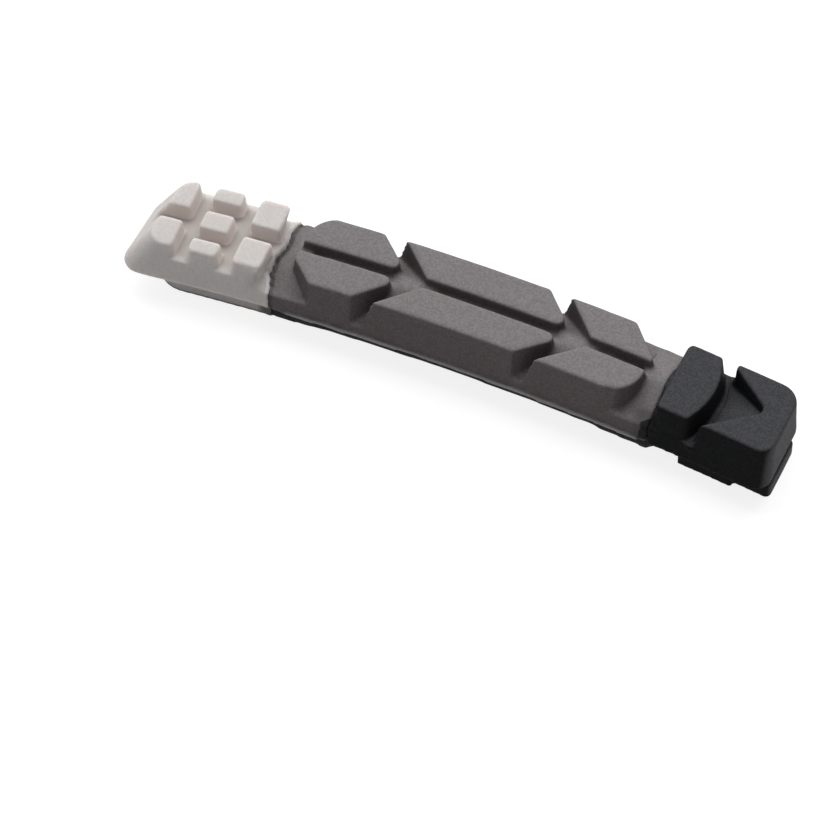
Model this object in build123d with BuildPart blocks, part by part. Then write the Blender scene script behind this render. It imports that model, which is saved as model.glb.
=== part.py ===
from build123d import *
import os
from math import cos, radians, sin, tan

os.makedirs("parts", exist_ok=True)

# X runs along the chord from the light end to the black end, Y to the outside of the rim's curve and
# Z out of the braking face. The back of the rail lies on Z = 0. All sizes are in millimetres.

# Plan
light_end_x = -35.7
black_end_x = 35.65
plan_radius = 282.0
flange_width = 10.6
tread_top_width = 9.1
black_top_inset = 0.3
light_ramp_length = 3.1
black_end_inset = 0.05
flange_light_corner = 2.2
tread_light_corner = 1.8
flange_black_far_corner = 2.7
tread_black_far_corner = 2.4
flange_black_near_corner = 1.8
tread_black_near_corner = 1.5

# Heights
rail_height = 2.6
rail_head_height = 1.4
tread_height = 5.0
channel_depth = 3.7
end_floor_depth = 3.0
light_groove_depth = 1.85
notch_floor_depth = 2.0
wall_draft = 6.0

# Seams between the compounds
light_seam_x = -20.2
light_seam_radius = 14.8
light_seam_y = 0.1
black_seam_x = 22.6

# Back rail, pin notch and stop block
rail_width = 8.1
rail_undercut = 0.8
rail_light_margin = 2.7
rail_light_corner = 3.5
rail_black_corner = 0.5
pin_notch_margin = 0.1
pin_notch_width = 3.1
stop_proud = 0.35
stop_width = 7.9
stop_wide_length = 6.0
stop_step = 0.6
stop_end_margin = 0.1
stop_end_corner = 0.6
stop_step_corner = 0.3

# Tread of the grey compound, measured along the arc
centre_groove = 1.15
chevron_one = -10.45
chevron_two = 7.55
chevron_gap = 2.28
lead_margin = 2.5
trail_margin = 2.15
tip_radius = 0.75
lead_far_radius = 3.2
lead_near_bevel = 2.65
trail_near_radius = 2.3
trail_far_flat = 0.475

# Tread of the light compound, measured along the arc
light_wall_margin = 0.35
light_block_length = 3.1
light_groove = 1.75
light_split = 1.7
light_row_pitch = 1.95
light_row_groove = 1.45
light_outer_corner = 0.9
light_inner_corner = 0.3

# Tread of the black compound
stem_margin = 0.5
stem_length = 4.6
stem_crown_radius = 9.0
stem_crown_shift = 0.5
stem_corner = 0.9
stem_crown_corner = 0.7
stem_gap = 1.0
notch_margin = 5.55
notch_depth = 5.1
notch_shift = 0.6
notch_skew = 0.3
notch_radius = 0.75
notch_tip_width = 0.65
notch_tip_radius = 0.4

# Broken edges, and how far a block's outline reaches past the wall that trims it
light_lip = 0.25
tread_edge_break = 0.12
black_edge_break = 0.18
overhang = 0.2

half_top = tread_top_width / 2
half_flange = flange_width / 2
half_groove = centre_groove / 2
shoulder_z = rail_height
braking_z = shoulder_z + tread_height
channel_z = braking_z - channel_depth
end_floor_z = braking_z - end_floor_depth
light_floor_z = braking_z - light_groove_depth
notch_floor_z = braking_z - notch_floor_depth
block_reach = half_top + overhang
beyond = black_end_x + flange_width


def on_arc(along, across):
    turn = along / plan_radius
    radius = plan_radius + across
    return (radius * sin(turn), radius * cos(turn) - plan_radius)


def arc_height(x, across):
    radius = plan_radius + across
    return (radius**2 - x**2) ** 0.5 - plan_radius


def flare(depth):
    return depth * tan(radians(wall_draft))


# An outline with concentric long sides and ends square to the chord. The inset narrows the near side.
def strip_outline(half_width, start_x, end_x, inset=0):
    near = inset - half_width
    far_start = (start_x, arc_height(start_x, half_width))
    far_end = (end_x, arc_height(end_x, half_width))
    near_start = (start_x, arc_height(start_x, near))
    near_end = (end_x, arc_height(end_x, near))
    middle_x = (start_x + end_x) / 2
    with BuildLine(mode=Mode.PRIVATE) as outline:
        ThreePointArc(far_start, (middle_x, arc_height(middle_x, half_width)), far_end)
        Line(far_end, near_end)
        ThreePointArc(near_end, (middle_x, arc_height(middle_x, near)), near_start)
        Line(near_start, far_start)
    return outline.edges()


# A face through corners given along and across the arc, each with its radius. Runs at a constant
# distance across stay concentric with the rim.
def tread_block(*corners):
    with BuildSketch(mode=Mode.PRIVATE) as block:
        with BuildLine() as outline:
            for (s0, t0, r0), (s1, t1, r1) in zip(corners, corners[1:] + corners[:1]):
                if t0 == t1:
                    ThreePointArc(on_arc(s0, t0), on_arc((s0 + s1) / 2, t0), on_arc(s1, t1))
                else:
                    Line(on_arc(s0, t0), on_arc(s1, t1))
        make_face(outline.edges())
        for along, across, radius in corners:
            if radius > 0:
                corner_x, corner_y = on_arc(along, across)
                fillet(block.vertices().sort_by_distance((corner_x, corner_y, 0))[0], radius)
    return block.sketch


# A flange section of the moulded body, drawn in by a margin all round.
def flange_section(z, margin):
    with BuildSketch(Plane.XY.offset(z), mode=Mode.PRIVATE) as plan:
        make_face(strip_outline(half_flange - margin, light_end_x + margin, black_end_x - margin))
        fillet(plan.vertices().group_by(Axis.X)[0], flange_light_corner - margin)
        fillet(plan.vertices().group_by(Axis.X)[-1].sort_by(Axis.Y)[-1], flange_black_far_corner - margin)
        fillet(plan.vertices().group_by(Axis.X)[-1].sort_by(Axis.Y)[0], flange_black_near_corner - margin)
    return plan.sketch


# A tread section of the same body, narrowed on the near side by the inset.
def tread_section(z, margin, inset=0):
    start_x = light_end_x + light_ramp_length + margin
    end_x = black_end_x - black_end_inset - margin
    with BuildSketch(Plane.XY.offset(z), mode=Mode.PRIVATE) as plan:
        make_face(strip_outline(half_top - margin, start_x, end_x, inset))
        fillet(plan.vertices().group_by(Axis.X)[0], tread_light_corner - margin)
        fillet(plan.vertices().group_by(Axis.X)[-1].sort_by(Axis.Y)[-1], tread_black_far_corner - margin)
        fillet(plan.vertices().group_by(Axis.X)[-1].sort_by(Axis.Y)[0], tread_black_near_corner - margin)
    return plan.sketch


# The moulded body above the shoulder: sides drafted, a long ramp at the light end, the top edge broken.
flange = flange_section(shoulder_z, 0)
tread_side = tread_section(braking_z - tread_edge_break, 0)
tread_top = tread_section(braking_z, tread_edge_break)
with BuildPart() as blank:
    loft([flange, tread_side, tread_top], ruled=True)

# The light end, whose flange has a softened lip.
lip_foot = flange_section(shoulder_z, light_lip)
lip_edge = flange_section(shoulder_z + light_lip, 0)
with BuildPart() as light_blank:
    loft([lip_foot, lip_edge, tread_side, tread_top], ruled=True)

# The black end, whose tread is narrower on the near side.
black_side = tread_section(braking_z - black_edge_break, 0, black_top_inset)
black_top = tread_section(braking_z, black_edge_break, black_top_inset)
with BuildPart() as black_blank:
    loft([flange, black_side, black_top], ruled=True)

# The side of the light seam that the light compound fills.
with BuildSketch() as light_zone:
    with Locations((light_seam_x - beyond / 2, 0)):
        Rectangle(beyond + 2 * light_seam_radius, 2 * beyond)
    with Locations((light_seam_x + light_seam_radius, light_seam_y)):
        Circle(light_seam_radius, mode=Mode.SUBTRACT)
    with Locations((light_seam_x + light_seam_radius + beyond, light_seam_y)):
        Rectangle(2 * beyond, 2 * beyond, mode=Mode.SUBTRACT)

# The undercut rail on the back, up to the pin notch.
rail_start_x = light_end_x + rail_light_margin
rail_end_x = black_seam_x - pin_notch_margin
half_rail = rail_width / 2
half_neck = half_rail - rail_undercut
with BuildPart() as rail:
    with BuildSketch() as rail_plan:
        make_face(strip_outline(half_rail, rail_start_x, rail_end_x))
        fillet(rail_plan.vertices().group_by(Axis.X)[0], rail_light_corner)
        fillet(rail_plan.vertices().group_by(Axis.X)[-1], rail_black_corner)
    extrude(amount=rail_head_height)
    with BuildSketch(Plane.XY.offset(rail_head_height)) as neck_plan:
        make_face(strip_outline(half_neck, rail_start_x + rail_undercut, rail_end_x))
        fillet(neck_plan.vertices().group_by(Axis.X)[0], rail_light_corner - rail_undercut)
    extrude(amount=rail_height - rail_head_height)

with BuildPart() as light_rail:
    with BuildSketch():
        add(light_zone.sketch)
    extrude(amount=rail_height)
    add(rail.part, mode=Mode.INTERSECT)

with BuildPart() as grey_rail:
    add(rail.part)
    with BuildSketch():
        add(light_zone.sketch)
    extrude(amount=rail_height, mode=Mode.SUBTRACT)

# The stop block behind the pin notch, stepped in towards the end and undercut like the rail.
stop_start_x = rail_end_x + pin_notch_width
stop_step_x = stop_start_x + stop_wide_length
stop_end_x = black_end_x - stop_end_margin
half_stop = stop_width / 2
half_stop_end = half_stop - stop_step
with BuildPart() as stop:
    with BuildSketch(Plane.XY.offset(-stop_proud)) as stop_plan:
        make_face(strip_outline(half_stop, stop_start_x, stop_step_x))
        fillet(stop_plan.vertices().group_by(Axis.X)[-1], stop_step_corner)
        make_face(strip_outline(half_stop_end, stop_start_x, stop_end_x))
        fillet(stop_plan.vertices().group_by(Axis.X)[-1], stop_end_corner)
    extrude(amount=stop_proud + rail_head_height)
    with BuildSketch(Plane.XY.offset(rail_head_height)):
        make_face(strip_outline(half_stop_end - rail_undercut, stop_start_x, stop_end_x - rail_undercut))
        make_face(strip_outline(half_stop - rail_undercut, stop_start_x, stop_step_x - rail_undercut))
    extrude(amount=rail_height - rail_head_height)

# Light compound: a raised bed with three columns of small blocks.
light_tread_end = light_seam_x - light_wall_margin
middle_column_end = light_tread_end - light_block_length - light_groove
outer_column_end = middle_column_end - light_block_length - light_groove
columns = (
    (light_tread_end - light_block_length, light_tread_end),
    (middle_column_end - light_block_length, middle_column_end),
    (-beyond, outer_column_end),
)
half_split = light_split / 2
row_inside = light_row_pitch - light_row_groove / 2
row_outside = light_row_pitch + light_row_groove / 2
with BuildPart() as light:
    with BuildSketch(Plane.XY.offset(light_floor_z)):
        bed_end = light_tread_end + flare(light_groove_depth)
        bed_reach = block_reach + flare(light_groove_depth)
        bed_corner = light_outer_corner + flare(light_groove_depth)
        add(
            tread_block(
                (-beyond, bed_reach, 0),
                (bed_end, bed_reach, bed_corner),
                (bed_end, -bed_reach, bed_corner),
                (-beyond, -bed_reach, 0),
            )
        )
    extrude(amount=end_floor_z - light_floor_z, taper=-wall_draft)
    with BuildSketch(Plane.XY.offset(shoulder_z)):
        add(light_zone.sketch)
    extrude(amount=end_floor_z - shoulder_z)
    for column, (start, end) in enumerate(columns):
        inside = row_outside if column == 1 else half_split
        for side in (1, -1):
            with BuildSketch(Plane.XY.offset(braking_z)):
                add(
                    tread_block(
                        (start, side * inside, light_inner_corner),
                        (start, side * block_reach, light_outer_corner),
                        (end, side * block_reach, light_outer_corner),
                        (end, side * inside, light_inner_corner),
                    )
                )
            extrude(amount=-light_groove_depth, taper=-wall_draft)
    with BuildSketch(Plane.XY.offset(braking_z)):
        start, end = columns[1]
        add(
            tread_block(
                (start, row_inside, light_inner_corner),
                (end, row_inside, light_inner_corner),
                (end, -row_inside, light_inner_corner),
                (start, -row_inside, light_inner_corner),
            )
        )
    extrude(amount=-light_groove_depth, taper=-wall_draft)
    chamfer(light.faces().group_by(Axis.Z)[-1].edges(), tread_edge_break)
    add(light_blank.part, mode=Mode.INTERSECT)
    add(light_rail.part)

# Grey compound: three pairs of blocks parted by a centre groove and two chevron channels.
pair_start = light_seam_x + lead_margin
pair_end = black_seam_x - trail_margin
slant = block_reach - half_groove
lead_edge = chevron_one - overhang
middle_start = chevron_one + chevron_gap - overhang
middle_edge = chevron_two - overhang
trail_start = chevron_two + chevron_gap - overhang
bevel_foot = half_top - lead_near_bevel
flat_end = half_groove + trail_far_flat
grey_blocks = (
    tread_block(
        (pair_start, half_groove, 0),
        (pair_start, block_reach, lead_far_radius),
        (lead_edge, block_reach, 0),
        (lead_edge + slant, half_groove, tip_radius),
    ),
    tread_block(
        (pair_start, -half_groove, 0),
        (pair_start, -bevel_foot, 0),
        (pair_start + block_reach - bevel_foot, -block_reach, 0),
        (lead_edge, -block_reach, 0),
        (lead_edge + slant, -half_groove, tip_radius),
    ),
    tread_block(
        (middle_start, block_reach, 0),
        (middle_edge, block_reach, 0),
        (middle_edge + slant, half_groove, tip_radius),
        (middle_start + slant, half_groove, 0),
    ),
    tread_block(
        (middle_start, -block_reach, 0),
        (middle_edge, -block_reach, 0),
        (middle_edge + slant, -half_groove, tip_radius),
        (middle_start + slant, -half_groove, 0),
    ),
    tread_block(
        (trail_start, block_reach, 0),
        (pair_end - block_reach + flat_end, block_reach, 0),
        (pair_end, flat_end, 0),
        (pair_end, half_groove, 0),
        (trail_start + slant, half_groove, 0),
    ),
    tread_block(
        (trail_start, -block_reach, 0),
        (pair_end, -block_reach, trail_near_radius),
        (pair_end, -half_groove, 0),
        (trail_start + slant, -half_groove, 0),
    ),
)
grey_length = black_seam_x - light_seam_x
channel_start = pair_start + lead_far_radius
channel_end = pair_end - block_reach + flat_end
with BuildPart() as grey:
    with BuildSketch(Plane.XY.offset(shoulder_z)):
        with Locations((light_seam_x + grey_length / 2, 0)):
            Rectangle(grey_length, 2 * beyond)
        add(light_zone.sketch, mode=Mode.SUBTRACT)
    extrude(amount=end_floor_z - shoulder_z)
    with BuildSketch(Plane.XY.offset(end_floor_z)):
        with Locations(((channel_start + channel_end) / 2, 0)):
            Rectangle(channel_end - channel_start, 2 * beyond)
    extrude(amount=channel_z - end_floor_z, mode=Mode.SUBTRACT)
    for outline in grey_blocks:
        with BuildSketch(Plane.XY.offset(braking_z)):
            add(outline)
        extrude(amount=-tread_height, taper=-wall_draft)
    chamfer(grey.faces().group_by(Axis.Z)[-1].edges(), tread_edge_break)
    add(blank.part, mode=Mode.INTERSECT)
    add(grey_rail.part)

# Black compound: a stem block with a round crown, then a bed with a V-notched block.
stem_start_x = black_seam_x + stem_margin
stem_crown_x = stem_start_x + stem_length
stem_centre = (stem_crown_x - stem_crown_radius, arc_height(stem_crown_x, stem_crown_shift))
notch_start = black_seam_x + notch_margin
notch_tip = half_top - notch_tip_width
with BuildPart() as black:
    with BuildSketch(Plane.XY.offset(shoulder_z)):
        with Locations((black_seam_x + beyond / 2, 0)):
            Rectangle(beyond, 2 * beyond)
    extrude(amount=end_floor_z - shoulder_z)
    with BuildSketch(Plane.XY.offset(braking_z)) as stem_plan:
        make_face(strip_outline(block_reach, stem_start_x, stem_crown_x + stem_gap, black_top_inset))
        with Locations(stem_centre):
            Circle(stem_crown_radius, mode=Mode.INTERSECT)
        fillet(stem_plan.vertices().group_by(Axis.X)[0], stem_corner)
        fillet(stem_plan.vertices().sort_by(Axis.X)[-2:], stem_crown_corner)
    extrude(amount=-end_floor_depth, taper=-wall_draft)
    with BuildSketch(Plane.XY.offset(notch_floor_z)):
        make_face(strip_outline(beyond, stem_start_x, beyond))
        with Locations(stem_centre):
            Circle(stem_crown_radius + stem_gap - flare(notch_floor_depth), mode=Mode.SUBTRACT)
        with Locations((stem_start_x, 0)):
            Rectangle(2 * stem_length, 4 * beyond, mode=Mode.SUBTRACT)
    extrude(amount=shoulder_z - notch_floor_z, taper=-wall_draft)
    with BuildSketch(Plane.XY.offset(braking_z)):
        add(
            tread_block(
                (notch_start, block_reach, 0),
                (beyond, block_reach, 0),
                (beyond, -block_reach, 0),
                (notch_start - notch_skew, -block_reach, 0),
                (notch_start + notch_depth, notch_shift, notch_radius),
                (notch_start, notch_tip, notch_tip_radius),
            )
        )
    extrude(amount=-notch_floor_depth, taper=-wall_draft)
    chamfer(black.faces().group_by(Axis.Z)[-1].edges(), black_edge_break)
    add(black_blank.part, mode=Mode.INTERSECT)
    add(stop.part)

light.part.label = "light_compound"
export_step(light.part, "parts/light_compound.step")
grey.part.label = "grey_compound"
export_step(grey.part, "parts/grey_compound.step")
black.part.label = "black_compound"
export_step(black.part, "parts/black_compound.step")
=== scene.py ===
import math

import bpy
import numpy as np
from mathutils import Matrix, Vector


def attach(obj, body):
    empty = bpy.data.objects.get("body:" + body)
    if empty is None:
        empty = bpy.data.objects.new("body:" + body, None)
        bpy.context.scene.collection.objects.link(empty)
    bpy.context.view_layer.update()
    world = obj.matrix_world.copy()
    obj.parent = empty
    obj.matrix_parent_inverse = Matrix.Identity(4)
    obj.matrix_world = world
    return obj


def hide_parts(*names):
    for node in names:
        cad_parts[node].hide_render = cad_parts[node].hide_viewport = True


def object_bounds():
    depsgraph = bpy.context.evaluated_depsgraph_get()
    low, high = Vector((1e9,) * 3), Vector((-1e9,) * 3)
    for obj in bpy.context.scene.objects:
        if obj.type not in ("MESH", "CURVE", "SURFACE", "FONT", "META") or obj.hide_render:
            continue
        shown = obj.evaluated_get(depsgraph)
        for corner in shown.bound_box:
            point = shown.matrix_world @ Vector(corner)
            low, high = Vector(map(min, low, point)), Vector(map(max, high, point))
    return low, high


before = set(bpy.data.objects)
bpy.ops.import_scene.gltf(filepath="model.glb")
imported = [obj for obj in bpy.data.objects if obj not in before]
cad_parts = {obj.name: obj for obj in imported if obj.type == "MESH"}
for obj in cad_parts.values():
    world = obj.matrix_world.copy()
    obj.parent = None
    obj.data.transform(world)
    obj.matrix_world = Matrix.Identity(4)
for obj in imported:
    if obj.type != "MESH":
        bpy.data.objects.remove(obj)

cad_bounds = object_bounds()

# Lengths in this script are millimetres. The scene is in metres.
MM = 0.001

# The camera stands where the photograph's did: a long lens, looking down on the braking face.
VIEW_AZIMUTH = 24.29
VIEW_ELEVATION = 49.41
VIEW_TARGET = (0.77, 0.0, 7.6)
VIEW_DISTANCE = 400.3
VIEW_LENS = 174.1
VIEW_SHIFT = (-0.0683, -0.1402)

# One large soft lamp behind the part, a weak fill and a pale floor, in metres and watts.
KEY_PLACE = (-0.11, 0.28, 0.5)
KEY_SIZE = (0.9, 0.6)
KEY_POWER = 4.9
KEY_COLOUR = (1.0, 0.99, 0.98)
FILL_COLOUR = (0.97, 0.98, 1.0)
FILL_STRENGTH = 0.2
FLOOR_SIZE = 6.0
FLOOR_PAPER = 0.84
FLOOR_SHADE = 0.3
FLOOR_GLOW = 0.84

# Sizes repeated from the solids: the plan curve, the levels, the seams, the blocks and the gaps.
PLAN_RADIUS = 282.0
HALF_FLANGE = 5.3
WALL_LEAN = 0.15
SHOULDER_Z = 2.6
BRAKING_Z = 7.6
FLOOR_Z = 4.6
CHANNEL_Z = 3.9
LIGHT_SEAM_CENTRE = (-5.4, 0.1)
LIGHT_SEAM_RADIUS = 14.8
LIGHT_BED_END = -20.235
LIGHT_BED_REACH = 5.065
LIGHT_BED_CORNER = 1.215
BLACK_SEAM_X = 22.6
RAIL_END_X = 22.5
CHEVRON_CORNERS = (-5.9, 12.1)
CHEVRON_GAP = 2.28
GROOVE_SPAN = (-17.7, 20.45)
LAST_BLOCK_REACH = 4.75
LAST_BLOCK_CORNER = 2.3
NOTCH_FLOOR_Z = 5.6
NOTCH_APEX = (33.25, 0.6)
NOTCH_NEAR_TIP = (27.85, -4.75)
NOTCH_FAR_TIP = (28.15, 3.9)
CROWN_CENTRE = (18.7, -0.86)
CROWN_GAP_RADIUS = 9.8

# Sizes of the forms that the photograph shows and the solids lack.
SEAM_BEND = (
    (-5.0, -3.4, -2.0, -0.5, 0.3, 1.0, 2.2, 3.6, 4.4),
    (0.05, 0.22, 0.22, 0.02, -0.1, 0.0, 0.42, 0.7, 0.66),
)
FOOT_RADIUS = 1.0
FOOT_DRAWN_IN = 0.45
WIDE_BED_CORNER = 2.3
WIDE_BLOCK_CORNER = 3.4
CREST_REACH = 4.7
CREST_RUN = 4.2
CREST_SLOPE = 0.44
CHANNEL_SLOPE = 0.6
CROWN_CREST = 0.7
CROWN_CREST_REACH = 4.4
GROOVE_Z = 6.05
GROOVE_MOUTH = 1.3
NOTCH_APEX_RISE = 1.1
NOTCH_RUN = 4.7
LIP_OUT = 0.3
RIDGE_HEIGHT = 0.16
UNEVENNESS = 0.02

# A patch starts just under the floor that it is laid on and ends well inside the solid.
SUNK = 0.02
PATCH_DEPTH = 0.6
CHANNEL_DEPTH = 0.5

# Edge lengths of the even meshes.
LIGHT_VOXEL = 0.1
GREY_VOXEL = 0.157
BLACK_VOXEL = 0.1

UP = np.array([[0.0, 0.0, 1.0]])
ALONG_X = np.array([[1.0, 0.0, 0.0]])

rng = np.random.default_rng(7)
LATTICE = rng.random((24, 24, 24))


def noise(points, size):
    """Smooth seeded noise from -1 to 1, with lumps of about the given size."""
    scaled = np.asarray(points) / size
    cell = np.floor(scaled).astype(int)
    part = scaled - cell
    part = part * part * (3 - 2 * part)
    total = np.zeros(len(scaled))
    for corner in range(8):
        step = np.array([corner & 1, corner >> 1 & 1, corner >> 2 & 1])
        weight = np.prod(np.where(step, part, 1 - part), axis=1)
        where = (cell + step) % len(LATTICE)
        total += weight * LATTICE[where[:, 0], where[:, 1], where[:, 2]]
    return 2 * total - 1


def ramp(value, low, high):
    """Rises smoothly from 0 at low to 1 at high, or falls where high is the smaller."""
    t = np.clip((value - low) / (high - low), 0, 1)
    return t * t * (3 - 2 * t)


def band(value, start, full, fade, end):
    """1 from full to fade, and falls smoothly to 0 at start and at end."""
    return ramp(value, start, full) * ramp(value, end, fade)


def hump(value, centre, width):
    """A bell of height 1."""
    return np.exp(-(((value - centre) / width) ** 2))


def to_arc(x, y):
    """Distance along the plan curve and across it."""
    return PLAN_RADIUS * np.arctan2(x, y + PLAN_RADIUS), np.hypot(x, y + PLAN_RADIUS) - PLAN_RADIUS


def from_arc(along, across):
    turn, radius = along / PLAN_RADIUS, across + PLAN_RADIUS
    return radius * np.sin(turn), radius * np.cos(turn) - PLAN_RADIUS


# Floors and fillets that are laid on the solids before they are meshed anew.


def grid(first, second):
    """Two tables of places, from two spans that are each given as start, end and count."""
    return np.meshgrid(np.linspace(*first), np.linspace(*second), indexing="ij")


def closed_patch(along, across, top, bottom):
    """A closed block over a grid of places, kept inside the drafted walls."""
    sheets = []
    for z in (top, np.full(along.shape, bottom)):
        limit = HALF_FLANGE - WALL_LEAN * (z - SHOULDER_Z)
        x, y = from_arc(along, np.clip(across, -limit, limit))
        sheets.append(np.stack([x, y, z], axis=-1).reshape(-1, 3))
    upper = np.arange(along.size).reshape(along.shape)
    lower = upper + along.size
    faces = []
    for sheet in (upper, lower):
        corners = (sheet[:-1, :-1], sheet[1:, :-1], sheet[1:, 1:], sheet[:-1, 1:])
        faces.append(np.stack(corners, axis=-1).reshape(-1, 4))
    for rim in (0, -1):
        for edge, foot in ((upper[rim], lower[rim]), (upper[:, rim], lower[:, rim])):
            faces.append(np.stack([edge[:-1], edge[1:], foot[1:], foot[:-1]], axis=-1))
    return np.concatenate(sheets), np.concatenate(faces)


def foot_height(along, across):
    """Height over the floor of the hollow fillet round the foot of the light tread."""
    past_end = along - (LIGHT_BED_END - LIGHT_BED_CORNER)
    past_side = np.abs(across) - (LIGHT_BED_REACH - LIGHT_BED_CORNER)
    corner = np.hypot(np.maximum(past_end, 0), np.maximum(past_side, 0))
    distance = np.clip(np.where(past_end > 0, corner, past_end) - LIGHT_BED_CORNER, 0, FOOT_RADIUS)
    return FOOT_RADIUS - np.sqrt(FOOT_RADIUS**2 - (FOOT_RADIUS - distance) ** 2)


def foot_patch(start, end):
    """The fillet on the light tread's foot, from one distance to another outside the light seam."""
    turns, reaches = grid((-0.37, 0.37, 75), (start, end, 31))
    radius = LIGHT_SEAM_RADIUS + reaches
    x = LIGHT_SEAM_CENTRE[0] - radius * np.cos(turns)
    y = LIGHT_SEAM_CENTRE[1] + radius * np.sin(turns)
    along, across = to_arc(x, y)
    top = FLOOR_Z - SUNK / 2 + foot_height(along, across)
    return closed_patch(along, across, top, FLOOR_Z - PATCH_DEPTH)


def fall(across):
    """Distance inside the foot of a crest, which is level in the middle and falls to both sides."""
    return np.clip(CREST_REACH - np.abs(across), 0, CREST_RUN)


def channel_patch(corner):
    """The crested floor of a chevron channel."""
    across, step = grid((-HALF_FLANGE, HALF_FLANGE, 107), (-1.3, CHEVRON_GAP + 0.5, 21))
    top = CHANNEL_Z - SUNK + CHANNEL_SLOPE * fall(across)
    return closed_patch(corner - np.abs(across) + step, across, top, CHANNEL_Z - CHANNEL_DEPTH)


def groove_patch():
    """The floor of the centre groove, which runs down to the end floors inside both mouths."""
    start, end = GROOVE_SPAN
    along, across = grid((start + 0.1, end - 0.1, 160), (-1.0, 1.0, 9))
    inward = np.minimum(along - start, end - along)
    top = FLOOR_Z - SUNK + (GROOVE_Z - FLOOR_Z + SUNK) * np.clip((inward - 0.1) / GROOVE_MOUTH, 0, 1)
    return closed_patch(along, across, top, CHANNEL_Z - CHANNEL_DEPTH)


def lead_patch():
    """The grey floor by the light seam, which rises from the seam to the crest at the blocks."""
    turns, inward = grid((-0.42, 0.42, 85), (0.05, 3.6, 30))
    x = LIGHT_SEAM_CENTRE[0] - (LIGHT_SEAM_RADIUS - inward) * np.cos(turns)
    y = LIGHT_SEAM_CENTRE[1] + (LIGHT_SEAM_RADIUS - inward) * np.sin(turns)
    along, across = to_arc(x, y)
    top = FLOOR_Z - SUNK + CREST_SLOPE * fall(across) * np.clip(inward / 2.2, 0, 1)
    return closed_patch(along, across, top, FLOOR_Z - PATCH_DEPTH)


def trail_patch(start, end):
    """The crested floor by the black seam, between two places along X."""
    x, across = grid((start, end, 15), (-HALF_FLANGE, HALF_FLANGE, 107))
    along = PLAN_RADIUS * np.arcsin(x / (PLAN_RADIUS + across))
    top = FLOOR_Z - SUNK + CREST_SLOPE * fall(across)
    return closed_patch(along, across, top, FLOOR_Z - PATCH_DEPTH)


def crown_crest(across):
    """Height of the crest in the gap beside the crown block."""
    return CROWN_CREST * np.clip(1 - np.abs(across) / CROWN_CREST_REACH, 0, 1)


def crown_patch():
    """The crested floor of the gap beside the crown block."""
    turns, radius = grid((-0.6, 0.7, 81), (8.6, 10.4, 10))
    x = CROWN_CENTRE[0] + radius * np.cos(turns)
    y = CROWN_CENTRE[1] + radius * np.sin(turns)
    along, across = to_arc(x, y)
    return closed_patch(along, across, FLOOR_Z - SUNK + crown_crest(across), FLOOR_Z - PATCH_DEPTH)


# The skins: fine even meshes of the solids, which are shaped point by point.


def solid_mesh(node):
    """A solid's points, in millimetres, and its triangles."""
    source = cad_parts[node].data
    source.calc_loop_triangles()
    points = np.empty(len(source.vertices) * 3)
    source.vertices.foreach_get("co", points)
    corners = np.empty(len(source.loop_triangles) * 3, dtype=int)
    source.loop_triangles.foreach_get("vertices", corners)
    return points.reshape(-1, 3) / MM, corners.reshape(-1, 3)


def even_mesh(points, faces, voxel):
    """One closed mesh of small even faces round all the blocks given."""
    rough = bpy.data.meshes.new("rough")
    rough.from_pydata(points.tolist(), [], faces)
    scratch = bpy.data.objects.new("scratch", rough)
    bpy.context.collection.objects.link(scratch)
    weld = scratch.modifiers.new("weld", "WELD")
    weld.merge_threshold = 0.001
    remesh = scratch.modifiers.new("remesh", "REMESH")
    remesh.mode = "VOXEL"
    remesh.voxel_size = voxel
    graph = bpy.context.evaluated_depsgraph_get()
    mesh = bpy.data.meshes.new_from_object(scratch.evaluated_get(graph))
    bpy.data.objects.remove(scratch)
    bpy.data.meshes.remove(rough)
    return mesh


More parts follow.
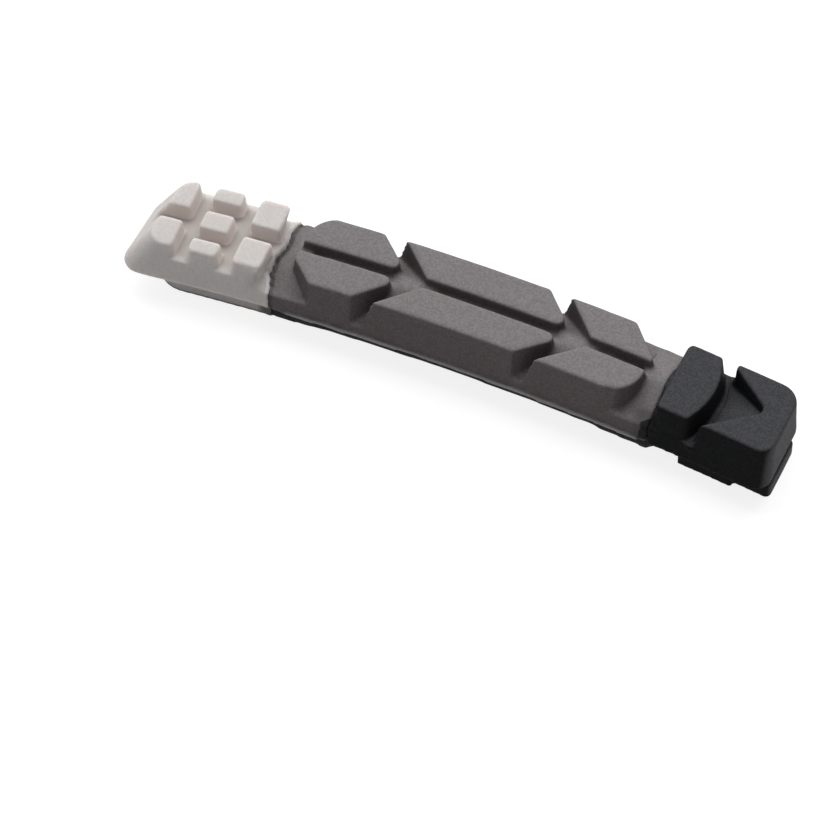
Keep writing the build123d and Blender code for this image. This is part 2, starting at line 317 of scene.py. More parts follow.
class Skin:
    """A compound's solid, with its patches, as an even mesh in millimetres."""

    def __init__(self, node, voxel, *patches):
        points, triangles = solid_mesh(node)
        faces = triangles.tolist()
        for more_points, more_faces in patches:
            faces += (more_faces + len(points)).tolist()
            points = np.concatenate([points, more_points])
        self.mesh = even_mesh(points, faces, voxel)
        self.points = np.empty(len(self.mesh.vertices) * 3)
        self.mesh.vertices.foreach_get("co", self.points)
        self.points = self.points.reshape(-1, 3)
        edges = np.empty(len(self.mesh.edges) * 2, dtype=int)
        self.mesh.edges.foreach_get("vertices", edges)
        self.edges = edges.reshape(-1, 2)

    def smoothed(self, values, rounds, weight=1.0):
        first, second = self.edges.T
        count = np.bincount(self.edges.ravel(), minlength=len(values))
        done = values.copy()
        for _ in range(rounds):
            for axis in range(done.shape[1]):
                line = done[:, axis]
                total = np.bincount(first, line[second], len(line))
                total += np.bincount(second, line[first], len(line))
                done[:, axis] = line + 0.5 * weight * (total / count - line)
        return done

    def smooth(self, rounds, weight=1.0):
        self.points = self.smoothed(self.points, rounds, weight)

    def normals(self):
        self.mesh.vertices.foreach_set("co", self.points.ravel())
        self.mesh.update()
        found = np.empty(len(self.points) * 3)
        self.mesh.vertex_normals.foreach_get("vector", found)
        return found.reshape(-1, 3)

    def along_across(self):
        return to_arc(self.points[:, 0], self.points[:, 1])

    def level(self):
        return self.points[:, 2]

    def seam_distance(self):
        """Distance from the light seam, over 0 on the light side, and the way out of the seam's curve."""
        reach = self.points[:, :2] - np.array(LIGHT_SEAM_CENTRE)
        length = np.maximum(np.linalg.norm(reach, axis=1), 1e-6)
        way = np.column_stack([reach / length[:, None], np.zeros(len(reach))])
        distance = np.where(reach[:, 0] < 0, length - LIGHT_SEAM_RADIUS, -LIGHT_SEAM_RADIUS)
        return distance, way

    def push(self, way, amount):
        self.points = self.points + way * np.asarray(amount)[:, None]

    def hollows(self, rounds, depth):
        """From 0 to 1 how hollow the surface is, and how proud, at a scale set by the rounds."""
        shift = ((self.smoothed(self.points, rounds) - self.points) * self.normals()).sum(axis=1) / depth
        return np.clip(shift, 0, 1), np.clip(-shift, 0, 1)

    def attribute(self, name, values):
        store = self.mesh.attributes.new(name, "FLOAT", "POINT")
        store.data.foreach_set("value", np.asarray(values, dtype=np.float32))

    def piece(self, name, node, slot, material):
        self.mesh.vertices.foreach_set("co", (self.points * MM).ravel())
        self.mesh.polygons.foreach_set("use_smooth", np.ones(len(self.mesh.polygons), dtype=bool))
        self.mesh.update()
        self.mesh.name = name
        self.mesh.materials.clear()
        self.mesh.materials.append(material)
        made = bpy.data.objects.new(name, self.mesh)
        bpy.context.collection.objects.link(made)
        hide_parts(node)
        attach(made, "root")
        return made


# Steps that more than one skin takes.


def warp_seams(skin):
    """Makes both seams ragged. Neighbours move by the same field, so they stay in touch."""
    distance, way = skin.seam_distance()
    turn = np.arctan2(way[:, 1], -way[:, 0]) * LIGHT_SEAM_RADIUS
    flat = np.column_stack([turn, 0.3 * skin.level(), np.full(len(turn), 3.3)])
    ragged = (0.16 * noise(flat, 0.5) + 0.06 * noise(flat + 9, 2.2)) * ramp(skin.level(), 2.4, 2.9)
    wander = np.interp(turn, *SEAM_BEND) * ramp(np.abs(distance), 2.2, 0.1)
    wander += ragged * ramp(np.abs(distance), 0.9, 0.12)
    skin.push(way, wander * ramp(skin.level(), 6.3, 5.7))
    distance = skin.points[:, 0] - BLACK_SEAM_X
    flat = np.column_stack([skin.points[:, 1], skin.points[:, 2], np.full(len(distance), 5.7)])
    wander = 0.05 * noise(flat, 0.5) + 0.06 * noise(flat + 5, 1.9)
    skin.push(ALONG_X, wander * ramp(np.abs(distance), 0.7, 0.1))


def make_uneven(skin):
    """Slow waves and fine lumps over the whole skin."""
    wave = UNEVENNESS * noise(skin.points, 2.6) + 0.5 * UNEVENNESS * noise(skin.points + 17, 0.9)
    skin.push(skin.normals(), wave)


def rail_side(skin):
    """1 on the sides of the rail and its undercut, 0 on the back and above the shoulder."""
    return ramp(np.abs(skin.normals()[:, 2]), 0.8, 0.5) * ramp(skin.level(), 2.6, 2.45)


def round_corners(skin, end, reach, old, new, levels, sides=(1, -1)):
    """Draws the rounded corners at a block's end in to a larger radius, in a band of levels."""
    along, across = skin.along_across()
    past_end = along - (end - new)
    past_side = np.abs(across) - (reach - new)
    out = np.maximum(np.hypot(past_end, past_side), 1e-6)
    cosine, sine = past_end / out, past_side / out
    inset = new - old
    lean = inset * (cosine + sine)
    on_round = lean + np.sqrt(np.maximum(lean**2 - 2 * inset**2 + old**2, 0))
    most, least = np.maximum(cosine, sine), np.minimum(cosine, sine)
    on_side = new / np.maximum(most, 0.5)
    border = np.where(new * least > inset * most, on_round, on_side)
    amount = (border - new) * ramp(out, 1.6 * new, border + 0.25) * ramp(out, 0.5 * new, new)
    amount *= (past_end > 0) * (past_side > 0) * np.isin(np.sign(across), sides)
    amount *= band(skin.level(), *levels)
    turn = along / PLAN_RADIUS
    side = sine * np.sign(across)
    way_x = cosine * np.cos(turn) + side * np.sin(turn)
    way_y = side * np.cos(turn) - cosine * np.sin(turn)
    skin.push(np.column_stack([way_x, way_y, np.zeros(len(turn))]), -amount)


# The light end.


def draw_in_foot(skin):
    """Draws the foot of the light bed's end in at both sides, which widens the ledge by the seam."""
    along, across = skin.along_across()
    near_end = band(along - LIGHT_BED_END, -1.3, -0.4, 0.5, 1.7)
    low = band(skin.level(), 4.6, 5.0, 5.6, 7.5)
    skin.push(ALONG_X, -FOOT_DRAWN_IN * ramp(np.abs(across), 1.0, 4.4) * near_end * low)


def soften_light(skin):
    """Rounds the light bed's corners and softens all edges, least at the grooves' outlets and the seam."""
    levels = (4.55, 4.9, 6.0, 7.5)
    round_corners(skin, LIGHT_BED_END, LIGHT_BED_REACH, LIGHT_BED_CORNER, WIDE_BED_CORNER, levels)
    draw_in_foot(skin)
    distance, _ = skin.seam_distance()
    along, across = skin.along_across()
    at_foot = ramp(along - LIGHT_BED_END, -1.6, -0.8) * ramp(np.abs(across), 1.5, 2.5)
    at_foot *= ramp(distance, 0.3, 0.7) * band(skin.level(), 4.2, 4.5, 6.9, 7.3)
    skin.smooth(24, at_foot)
    outlet = ramp(np.abs(across), 4.2, 4.6) * band(skin.level(), 5.0, 5.4, 6.0, 6.3)
    crisp = (1 - 0.75 * outlet * ramp(distance, 1.5, 2.5)) * (0.3 + 0.7 * ramp(distance, 0.3, 0.8))
    skin.smooth(14, crisp)
    in_groove = band(skin.level(), 5.2, 5.5, 6.6, 7.1) * ramp(distance, 0.4, 1.0)
    skin.smooth(12, in_groove * crisp)


def raise_ridge(skin):
    """Makes the seam ragged, with a low ridge beside it, and returns the distance from its even line."""
    distance, way = skin.seam_distance()
    facing = (skin.normals() * way).sum(axis=1)
    warp_seams(skin)
    skin.push(way, -0.08 * ramp(facing, -0.6, -0.9) * ramp(distance, 0.3, 0.1))
    lumps = 0.9 + 0.3 * noise(skin.points, 0.6)
    on_floor = ramp(skin.normals()[:, 2], 0.3, 0.7) * band(skin.level(), 4.2, 4.4, 5.5, 5.9)
    skin.push(UP, RIDGE_HEIGHT * ramp(distance, 0.55, 0.2) * on_floor * lumps)
    skin.smooth(4, 0.6 * ramp(distance, 1.0, 0.6) * ramp(skin.level(), 4.2, 4.4))
    return distance


def mark_light(skin, distance):
    """Stores where the colour of the light rubber changes: painted shade in the hollows, on the groove floors
    and on the rail's sides, painted light on the near wall, and the proud edges.
    """
    deep, _ = skin.hollows(60, 0.22)
    _, proud = skin.hollows(8, 0.05)
    _, across = skin.along_across()
    facing_up = skin.normals()[:, 2]
    steep = ramp(facing_up, 0.6, 0.3) * band(skin.level(), 5.2, 5.6, 7.2, 7.5)
    floor = ramp(facing_up, 0.4, 0.9) * band(skin.level(), 5.1, 5.5, 6.2, 7.0)
    shaded = np.maximum(ramp(skin.level(), 0.5, 0.25), ramp(skin.level(), 1.3, 1.5))
    skin.attribute("hollow", deep)
    skin.attribute("proud", proud)
    # Painted light: the steep near outer wall.
    skin.attribute("wall", steep * ramp(across, -4.2, -3.8))
    skin.attribute("groove", floor * ramp(np.abs(across), 4.6, 3.4))
    # Painted shade: the rail's sides and undercut under the flange, more of them near the seam.
    skin.attribute("under", rail_side(skin) * np.maximum(shaded, ramp(distance, 1.9, 0.4)))


def make_light():
    skin = Skin("light_compound", LIGHT_VOXEL, foot_patch(0, 2.2))
    soften_light(skin)
    distance = raise_ridge(skin)
    make_uneven(skin)
    mark_light(skin, distance)
    return skin


# The grey middle.


def soften_grey(skin):
    """Rounds the near corner of the last block and softens all edges, most in the channels and the groove."""
    levels = (4.5, 4.8, 98, 99)
    round_corners(skin, GROOVE_SPAN[1], LAST_BLOCK_REACH, LAST_BLOCK_CORNER, WIDE_BLOCK_CORNER, levels, (-1,))
    distance, _ = skin.seam_distance()
    skin.smooth(7, 0.4 + 0.6 * ramp(distance, -0.3, -0.8))
    along, across = skin.along_across()
    inside = ramp(np.abs(across), 4.7, 4.3) * band(along, -16, -14.5, 16, 17.5)
    skin.smooth(24, inside * ramp(skin.level(), 7.0, 6.4))


def scallop_seam(skin):
    """Makes both seams ragged, with a dip at the light one, and returns the distance from its even line."""
    distance, way = skin.seam_distance()
    facing = (skin.normals() * way).sum(axis=1)
    warp_seams(skin)
    scallop = 0.8 + 0.4 * noise(skin.points + 31, 0.45)
    skin.push(skin.normals(), -0.2 * hump(distance, -0.2, 0.22) * ramp(facing, 0.85, 0.45) * scallop)
    return distance


def outward_from_middle(skin):
    _, across = skin.along_across()
    way = np.column_stack([skin.points[:, 0], skin.points[:, 1] + PLAN_RADIUS, np.zeros(len(across))])
    return way * (np.sign(across) / np.linalg.norm(way, axis=1))[:, None]


def draw_out_lip(skin):
    """Draws the flange's lower edge out to a thin lip of flash, and returns where it is."""
    along, across = skin.along_across()
    lip = ramp(np.abs(across), 4.5, 4.9) * ramp(skin.level(), 3.1, 2.95) * (skin.level() > 2.35)
    line = np.column_stack([along, np.sign(across) * 4, np.zeros(len(along))])
    lip *= (0.93 + 0.1 * noise(line, 1.6)) * band(along, -18.6, -16.5, 21.8, 22.3)
    skin.push(outward_from_middle(skin), LIP_OUT * lip)
    return lip


def film_over_rail(skin):
    """1 where black compound has crept over the back and the end of the grey rail."""
    _, across = skin.along_across()
    x, level = skin.points[:, 0], skin.level()
    reach = np.interp(across, (-4.1, -1.5, 1.0, 2.8, 4.1), (1.2, 1.7, 1.6, 0.7, 0.2))
    wavy = reach + 0.16 * noise(skin.points, 0.7) + 0.12 * noise(skin.points + 3, 0.3)
    on_back = ramp(x - RAIL_END_X + wavy, -0.06, 0.06) * ramp(level, 0.7, 0.3)
    on_end = ramp(x, RAIL_END_X - 0.3, RAIL_END_X - 0.15) * (level < SHOULDER_Z)
    return np.maximum(on_back, on_end)


def film_over_wall(skin):
    """1 where black compound has crept over the grey floor's corner and down the near wall."""
    _, across = skin.along_across()
    x, level = skin.points[:, 0], skin.level()
    reach = 0.95 * ramp(across, -3.7, -4.8) * ramp(level, 5.4, 5.0)
    wavy = reach + 0.14 * noise(skin.points, 0.6) * (reach > 0)
    return ramp(x - BLACK_SEAM_X + wavy, -0.05, 0.05) * ramp(reach, 0.02, 0.1) * ramp(level, 2.85, 3.1)


def tear_rail_end(skin):
    """Pulls small flaps out of the rail's end, into the pin notch."""
    _, across = skin.along_across()
    torn = ramp(skin.points[:, 0], RAIL_END_X - 0.3, RAIL_END_X) * ramp(skin.level(), 1.1, 0.2)
    flaps = np.column_stack([across, np.zeros(len(across)), np.full(len(across), 8.8)])
    reach = np.clip(noise(flaps, 0.8) + 0.2, 0, 1) * ramp(np.abs(across), 3.9, 3.3)
    skin.push(ALONG_X, 0.5 * torn * reach)


def mark_grey(skin, distance, lip):
    """Stores where the colour of the grey rubber changes: painted sheen on the tops, painted shade in the
    hollows, on the slanted walls, on the rail's sides and beside the light seam, a painted highlight on the
    lip, and dust with painted shade by the black seam.
    """
    deep, proud = skin.hollows(10, 0.08)
    normal = skin.normals()
    _, across = skin.along_across()
    x, level = skin.points[:, 0], skin.level()
    on_lip = np.clip(lip, 0, 1)
    steep = ramp(np.abs(normal[:, 2]), 0.6, 0.3) * ramp(level, 3.2, 3.8)
    skin.attribute("hollow", deep)
    skin.attribute("proud", proud)
    skin.attribute("seam", distance)
    skin.attribute("lip", on_lip)
    skin.attribute("under", rail_side(skin) * (1 - on_lip))
    # Painted sheen with some dust: faces that look up get the lighter top colour, and the low floors get less
    # of it, which is painted shade.
    skin.attribute("painted_sheen_and_dust", ramp(normal[:, 2], 0.2, 0.9) * (0.75 + 0.25 * ramp(level, 5.0, 6.5)))
    # Partly black dust, partly painted shade: the low grey floor darkens toward the black block.
    skin.attribute("black_dust_and_shade", ramp(x, 19.8, 22.0) * ramp(across, 2.0, -4.0) * ramp(level, 5.4, 5.0))
    skin.attribute("back", ramp(normal[:, 2], -0.6, -0.9))
    # Painted shade: steep walls that face along the pad.
    skin.attribute("slant", steep * ramp(np.abs(normal[:, 0]), 0.3, 0.6))


def make_grey():
    floors = [foot_patch(-1.6, 0), lead_patch(), groove_patch(), trail_patch(19.9, BLACK_SEAM_X)]
    channels = [channel_patch(corner) for corner in CHEVRON_CORNERS]
    skin = Skin("grey_compound", GREY_VOXEL, *floors, *channels)
    soften_grey(skin)
    distance = scallop_seam(skin)
    lip = draw_out_lip(skin)
    film = film_over_rail(skin)
    stain = film_over_wall(skin)
    tear_rail_end(skin)
    skin.push(skin.normals(), 0.03 * film + 0.04 * stain)
    make_uneven(skin)
    mark_grey(skin, distance, lip)
    skin.attribute("film", film)
    skin.attribute("stain", stain)
    return skin


# The black end.


def slope_notch(skin):
    """Tilts the floor of the V notch, which falls from its apex to its mouth."""
    along, across = skin.along_across()
    near_run = (NOTCH_APEX[0] - NOTCH_NEAR_TIP[0]) / (NOTCH_APEX[1] - NOTCH_NEAR_TIP[1])
    far_run = (NOTCH_APEX[0] - NOTCH_FAR_TIP[0]) / (NOTCH_FAR_TIP[1] - NOTCH_APEX[1])
    near_line = NOTCH_APEX[0] + near_run * (across - NOTCH_APEX[1])
    far_line = NOTCH_APEX[0] - far_run * (across - NOTCH_APEX[1])
    border = np.maximum(np.minimum(near_line, far_line), NOTCH_NEAR_TIP[0])
    centre = np.hypot(skin.points[:, 0] - CROWN_CENTRE[0], skin.points[:, 1] - CROWN_CENTRE[1])
    inside = ramp(along - border, 0.15, -0.05) * ramp(centre, CROWN_GAP_RADIUS - 0.5, CROWN_GAP_RADIUS - 0.2)
    mouth = FLOOR_Z - NOTCH_FLOOR_Z + 0.05 + crown_crest(across)
    rise = mouth + (NOTCH_APEX_RISE - mouth) * np.clip((centre - CROWN_GAP_RADIUS) / NOTCH_RUN, 0, 1)
    wall_top = BRAKING_Z - 0.15
    above = np.clip((wall_top - skin.level()) / (wall_top - NOTCH_FLOOR_Z), 0, 1)
    below = np.clip((skin.level() - FLOOR_Z) / (NOTCH_FLOOR_Z - FLOOR_Z), 0, 1)
    skin.push(UP, inside * rise * np.where(skin.level() > NOTCH_FLOOR_Z, above, below))


def soften_black(skin):
    """Softens all edges, most in the gap and the V notch."""
    skin.smooth(9)
    _, across = skin.along_across()
    in_gap = band(skin.level(), 4.2, 4.5, 6.2, 6.9) * ramp(np.abs(across), 4.6, 4.2)
    skin.smooth(20, in_gap * ramp(skin.points[:, 0], 22.9, 23.3))


def tear_pin_notch(skin):
    """Raises torn lumps at both sides of the pin notch's ceiling, and returns where they are."""
    _, across = skin.along_across()
    normal = skin.normals()
    ceiling = ramp(normal[:, 2], -0.5, -0.8) * (skin.level() > 2.0)
    ceiling *= band(skin.points[:, 0], 22.7, 23.2, 25.1, 25.5)
    torn = ceiling * band(np.abs(across), 2.6, 3.2, 4.4, 4.9)
    lumps = 0.5 + 0.5 * noise(skin.points, 0.8) + 0.35 * noise(skin.points + 7, 0.35)
    skin.push(normal, 0.3 * torn * np.clip(lumps, 0, 1.2))
    return torn


def mark_black(skin, torn):
    """Stores where the colour of the black rubber changes: painted sheen on the flat faces, painted shade in
    the hollows, a painted reflection on the end wall, the lighter back and the torn lumps.
    """
    deep, _ = skin.hollows(10, 0.06)
    normal = skin.normals()
    _, across = skin.along_across()
    x, level = skin.points[:, 0], skin.level()
    # Painted sheen with some dust: faces that look up or down get the lighter colour, and the low floors get
    # less of it, which is painted shade.
    flat = ramp(np.abs(normal[:, 2]), 0.35, 0.95) * (0.85 + 0.15 * ramp(np.abs(level - 4), 1.5, 3.2))
    corner = ramp(x, 23.8, 23.2) * ramp(across, -3.0, -4.2) * ramp(level, 6.5, 6.0)
    skin.attribute("hollow", deep)
    skin.attribute("torn", torn)
    skin.attribute("painted_sheen_and_dust", flat * (1 - corner))
    # Painted reflection: the end wall that faces along +X gets a lighter colour.
    skin.attribute("end", ramp(normal[:, 0], 0.5, 0.9) * ramp(x, 34.6, 35.0))
    skin.attribute("back", ramp(normal[:, 2], -0.6, -0.9) * ramp(level, 0.9, 0.3))


def make_black():
    skin = Skin("black_compound", BLACK_VOXEL, crown_patch(), trail_patch(BLACK_SEAM_X, 23.4))
    slope_notch(skin)
    soften_black(skin)
    warp_seams(skin)
    torn = tear_pin_notch(skin)
    make_uneven(skin)
    mark_black(skin, torn)
    return skin


# The three rubbers.


class Rubber:
    """A moulded rubber: a principled shader with helpers for the nodes that paint it."""

    def __init__(self, name):
        self.material = bpy.data.materials.new(name)
        self.material.use_nodes = True
        self.nodes, self.links = self.material.node_tree.nodes, self.material.node_tree.links
        self.shader = self.nodes["Principled BSDF"]
        self.place = self.nodes.new("ShaderNodeTexCoord").outputs["Object"]

    def grain(self, size, detail=2.0):
        texture = self.nodes.new("ShaderNodeTexNoise")
        texture.inputs["Scale"].default_value = 1 / (size * MM)
        texture.inputs["Detail"].default_value = detail
        self.links.new(self.place, texture.inputs["Vector"])
        return texture.outputs["Fac"]

    def stored(self, name):
        attribute = self.nodes.new("ShaderNodeAttribute")
        attribute.attribute_name = name
        return attribute.outputs["Fac"]

    def spread(self, value, low, high, start=0.0, end=1.0):
        """Maps the span from low to high onto the span from start to end, smoothly."""
        node = self.nodes.new("ShaderNodeMapRange")
        node.interpolation_type = "SMOOTHSTEP"
        for socket, number in zip(("From Min", "From Max", "To Min", "To Max"), (low, high, start, end)):
            node.inputs[socket].default_value = number
        self.links.new(value, node.inputs["Value"])
        return node.outputs["Result"]

    def times(self, first, second):
        node = self.nodes.new("ShaderNodeMath")
        node.operation = "MULTIPLY"
        for socket, value in zip(node.inputs, (first, second)):
            self.links.new(value, socket)
        return node.outputs[0]

    def mix(self, factor, first, second):
        node = self.nodes.new("ShaderNodeMix")
        node.data_type = "RGBA"
        self.links.new(factor, node.inputs["Factor"])
        for socket, value in zip((node.inputs[6], node.inputs[7]), (first, second)):
            if isinstance(value, tuple):
                socket.default_value = (*value, 1)
            else:
                self.links.new(value, socket)
        return node.outputs[2]

    def tint(self, colour, name, low, high, share, other):
        """Mixes a share of another colour in where a stored value goes from low to high."""
        return self.mix(self.spread(self.stored(name), low, high, 0.0, share), colour, other)

    def bump(self, height, depth, strength):
        node = self.nodes.new("ShaderNodeBump")
        node.inputs["Distance"].default_value = depth * MM
        node.inputs["Strength"].default_value = strength
        self.links.new(height, node.inputs["Height"])
        self.links.new(node.outputs["Normal"], self.shader.inputs["Normal"])

    def set(self, **numbers):
        for name, number in numbers.items():
            self.shader.inputs[name.replace("_", " ")].default_value = number

    def link(self, name, socket):
        self.links.new(socket, self.shader.inputs[name])


def light_rubber():
    paint = Rubber("light_rubber")
    speckle = paint.spread(paint.grain(0.28), 0.35, 0.65)
    colour = paint.mix(speckle, (0.575, 0.55, 0.535), (0.63, 0.605, 0.59))
    blush = paint.spread(paint.grain(2.4), 0.48, 0.66, 0.0, 0.4)
    colour = paint.mix(blush, colour, (0.61, 0.555, 0.545))
    # Painted shade with some dirt: the groove floors darker and browner.
    colour = paint.tint(colour, "groove", 0.0, 1.0, 0.8, (0.44, 0.4, 0.375))
    # Painted shade: the hollows darker and warmer.
    colour = paint.tint(colour, "hollow", 0.1, 0.9, 0.5, (0.54, 0.44, 0.39))
    # Painted light: the near outer wall is lighter, as if lit from the front.
    colour = paint.tint(colour, "wall", 0.0, 1.0, 0.8, (0.73, 0.675, 0.65))
    colour = paint.tint(colour, "proud", 0.3, 1.0, 0.3, (0.7, 0.68, 0.665))
    # Painted shade: the rail's sides and undercut under the flange.
    colour = paint.tint(colour, "under", 0.0, 1.0, 0.85, (0.12, 0.105, 0.095))
    paint.link("Base Color", colour)
    paint.link("Roughness", paint.spread(paint.grain(0.6), 0.3, 0.7, 0.62, 0.78))
    paint.set(Specular_IOR_Level=0.2, Subsurface_Weight=0.85, Subsurface_Scale=1.4 * MM)
    paint.set(Subsurface_Radius=(1.0, 0.86, 0.76))
    paint.bump(paint.grain(0.22, 3.0), 0.03, 0.3)
    return paint.material


def grey_rubber():
    paint = Rubber("grey_rubber")
    speckle = paint.spread(paint.grain(0.24), 0.35, 0.65)
    # A lighter copy for the tops, which is painted sheen with some dust, and a darker copy for the walls,
    # which is painted shade.
    dust_and_sheen = paint.mix(speckle, (0.178, 0.166, 0.169), (0.222, 0.21, 0.213))
    fresh_and_shaded = paint.mix(speckle, (0.11, 0.096, 0.098), (0.138, 0.123, 0.125))
    # Painted shade: a darker copy for the walls that face along the pad.
    shaded = paint.mix(speckle, (0.08, 0.068, 0.07), (0.102, 0.09, 0.092))
    fresh_and_shaded = paint.mix(paint.stored("slant"), fresh_and_shaded, shaded)
    colour = paint.mix(paint.stored("painted_sheen_and_dust"), fresh_and_shaded, dust_and_sheen)
    mottle = paint.spread(paint.grain(0.42, 1.0), 0.4, 0.68)
    back = paint.mix(mottle, (0.21, 0.198, 0.2), (0.3, 0.285, 0.288))
    colour = paint.mix(paint.stored("back"), colour, back)
    # Painted shade: darker in the hollows.
    colour = paint.tint(colour, "hollow", 0.1, 0.9, 0.5, (0.09, 0.078, 0.08))
    colour = paint.tint(colour, "proud", 0.3, 1.0, 0.3, (0.25, 0.24, 0.243))
    # Partly black dust, partly painted shade: darker toward the black block.
    colour = paint.tint(colour, "black_dust_and_shade", 0.0, 1.0, 0.75, (0.08, 0.075, 0.077))
    # Painted shade: dark blotches in the dip on the grey side of the light seam.
    blotch = paint.spread(paint.grain(0.55, 1.0), 0.35, 0.6, 0.45, 1.0)
    near_seam = paint.times(paint.spread(paint.stored("seam"), -0.7, -0.3, 0.0, 0.75), blotch)
    colour = paint.mix(near_seam, colour, (0.05, 0.046, 0.047))
    # Painted shade: the rail's sides and undercut under the flange, apart from the lip.
    colour = paint.tint(colour, "under", 0.0, 1.0, 0.85, (0.025, 0.024, 0.024))
    # Painted highlight: the flash lip at the flange's lower edge is lighter.
    colour = paint.tint(colour, "lip", 0.2, 0.9, 0.8, (0.38, 0.365, 0.36))
    film = paint.mix(paint.spread(paint.grain(0.3), 0.4, 0.7), (0.055, 0.056, 0.058), (0.1, 0.1, 0.103))
    colour = paint.mix(paint.stored("film"), colour, film)
    colour = paint.mix(paint.stored("stain"), colour, (0.012, 0.012, 0.013))
    paint.link("Base Color", colour)
    paint.link("Roughness", paint.spread(paint.grain(0.6), 0.3, 0.7, 0.62, 0.78))
    paint.set(Specular_IOR_Level=0.1)
    paint.bump(paint.grain(0.2, 3.0), 0.03, 0.45)
    return paint.material


def black_rubber():
    paint = Rubber("black_rubber")
    speckle = paint.spread(paint.grain(0.24), 0.35, 0.65)
    # A lighter copy for the flat faces, which is painted sheen with some dust, and a darker copy for the
    # walls, which is painted shade.
    dust_and_sheen = paint.mix(speckle, (0.044, 0.045, 0.05), (0.063, 0.064, 0.07))
    fresh_and_shaded = paint.mix(speckle, (0.006, 0.0063, 0.007), (0.011, 0.0115, 0.0125))
    # Painted reflection: a lighter colour for the end wall, where the pale floor would be reflected at a
    # grazing angle.
    painted_end_reflection = paint.mix(speckle, (0.062, 0.063, 0.067), (0.084, 0.085, 0.089))
    colour = paint.mix(paint.stored("painted_sheen_and_dust"), fresh_and_shaded, dust_and_sheen)
    colour = paint.mix(paint.stored("end"), colour, painted_end_reflection)
    mottle = paint.spread(paint.grain(0.45, 1.0), 0.42, 0.66)
    back = paint.mix(mottle, (0.115, 0.117, 0.119), (0.17, 0.173, 0.175))
    colour = paint.mix(paint.stored("back"), colour, back)
    # Painted shade: darker in the hollows.
    colour = paint.tint(colour, "hollow", 0.1, 0.9, 0.5, (0.008, 0.008, 0.009))
    sheen = paint.times(paint.spread(paint.grain(0.35), 0.4, 0.62), paint.stored("torn"))
    colour = paint.mix(sheen, colour, (0.3, 0.31, 0.31))
    paint.link("Base Color", colour)
    paint.link("Roughness", paint.spread(paint.stored("torn"), 0.1, 0.9, 0.66, 0.35))
    paint.set(Specular_IOR_Level=0.05)
    paint.bump(paint.grain(0.2, 3.0), 0.03, 0.45)
    return paint.material


# Camera, light and floor.


def make_camera():
    azimuth, elevation = math.radians(VIEW_AZIMUTH), math.radians(VIEW_ELEVATION)
    back = Vector((
        math.sin(azimuth) * math.cos(elevation),
        -math.cos(azimuth) * math.cos(elevation),
        math.sin(elevation),
    ))
    data = bpy.data.cameras.new("camera")
    data.sensor_width = 36.0
    data.lens = VIEW_LENS
    data.shift_x, data.shift_y = VIEW_SHIFT
    data.clip_start = 0.01
    data.clip_end = 50.0
    camera = bpy.data.objects.new("camera", data)
    camera.location = (Vector(VIEW_TARGET) + back * VIEW_DISTANCE) * MM
    camera.rotation_euler = (-back).to_track_quat("-Z", "Y").to_euler()
    bpy.context.collection.objects.link(camera)
    bpy.context.scene.camera = camera


def make_key_lamp():
    data = bpy.data.lights.new("key", "AREA")
    data.shape = "RECTANGLE"
    data.size, data.size_y = KEY_SIZE
    data.energy = KEY_POWER
    data.color = KEY_COLOUR
    lamp = bpy.data.objects.new("key", data)
    lamp.location = KEY_PLACE
    lamp.rotation_euler = (-Vector(KEY_PLACE)).to_track_quat("-Z", "Y").to_euler()
    bpy.context.collection.objects.link(lamp)


def background_mask(nodes, links):
    """1 for the rays that see the white background: from the camera, off gloss and through glass."""
    path = nodes.new("ShaderNodeLightPath")
    mask = path.outputs["Is Camera Ray"]
    for ray in ("Is Glossy Ray", "Is Transmission Ray"):
        either = nodes.new("ShaderNodeMath")
        either.operation = "MAXIMUM"
        links.new(mask, either.inputs[0])
        links.new(path.outputs[ray], either.inputs[1])
        mask = either.outputs[0]
    return mask


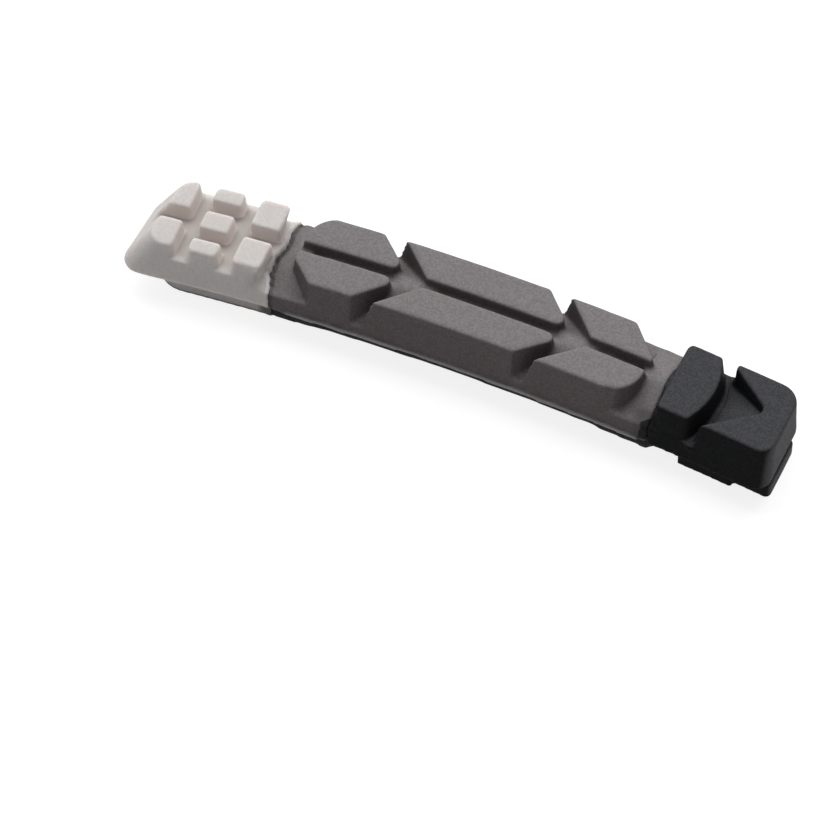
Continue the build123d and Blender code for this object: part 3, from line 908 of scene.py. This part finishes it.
def make_world():
    world = bpy.data.worlds.new("world")
    world.use_nodes = True
    nodes, links = world.node_tree.nodes, world.node_tree.links
    nodes.clear()
    out = nodes.new("ShaderNodeOutputWorld")
    fill = nodes.new("ShaderNodeBackground")
    fill.inputs["Color"].default_value = (*FILL_COLOUR, 1)
    fill.inputs["Strength"].default_value = FILL_STRENGTH
    white = nodes.new("ShaderNodeBackground")
    white.inputs["Color"].default_value = (1, 1, 1, 1)
    mix = nodes.new("ShaderNodeMixShader")
    links.new(background_mask(nodes, links), mix.inputs[0])
    links.new(fill.outputs[0], mix.inputs[1])
    links.new(white.outputs[0], mix.inputs[2])
    links.new(mix.outputs[0], out.inputs[0])
    bpy.context.scene.world = world


def floor_paper():
    """Pale paper, which the rays that see the background find white apart from its shadows."""
    material = bpy.data.materials.new("floor")
    material.use_nodes = True
    nodes, links = material.node_tree.nodes, material.node_tree.links
    nodes.clear()
    out = nodes.new("ShaderNodeOutputMaterial")
    paper = nodes.new("ShaderNodeBsdfDiffuse")
    paper.inputs["Color"].default_value = (FLOOR_PAPER, FLOOR_PAPER, FLOOR_PAPER, 1)
    shade = nodes.new("ShaderNodeBsdfDiffuse")
    shade.inputs["Color"].default_value = (FLOOR_SHADE, FLOOR_SHADE, FLOOR_SHADE, 1)
    glow = nodes.new("ShaderNodeEmission")
    glow.inputs["Color"].default_value = (1, 1, 1, 1)
    glow.inputs["Strength"].default_value = FLOOR_GLOW
    seen = nodes.new("ShaderNodeAddShader")
    mix = nodes.new("ShaderNodeMixShader")
    links.new(shade.outputs[0], seen.inputs[0])
    links.new(glow.outputs[0], seen.inputs[1])
    links.new(background_mask(nodes, links), mix.inputs[0])
    links.new(paper.outputs[0], mix.inputs[1])
    links.new(seen.outputs[0], mix.inputs[2])
    links.new(mix.outputs[0], out.inputs[0])
    return material


def make_floor():
    bpy.ops.mesh.primitive_plane_add(size=FLOOR_SIZE, location=(0, 0, cad_bounds[0][2]))
    floor = bpy.context.object
    floor.name = "floor"
    floor.data.materials.clear()
    floor.data.materials.append(floor_paper())


make_camera()
make_key_lamp()
make_world()
make_floor()
make_light().piece("light_end", "light_compound", "light_rubber", light_rubber())
make_grey().piece("grey_middle", "grey_compound", "grey_rubber", grey_rubber())
make_black().piece("black_end", "black_compound", "black_rubber", black_rubber())

bpy.context.scene.view_settings.view_transform = "Standard"
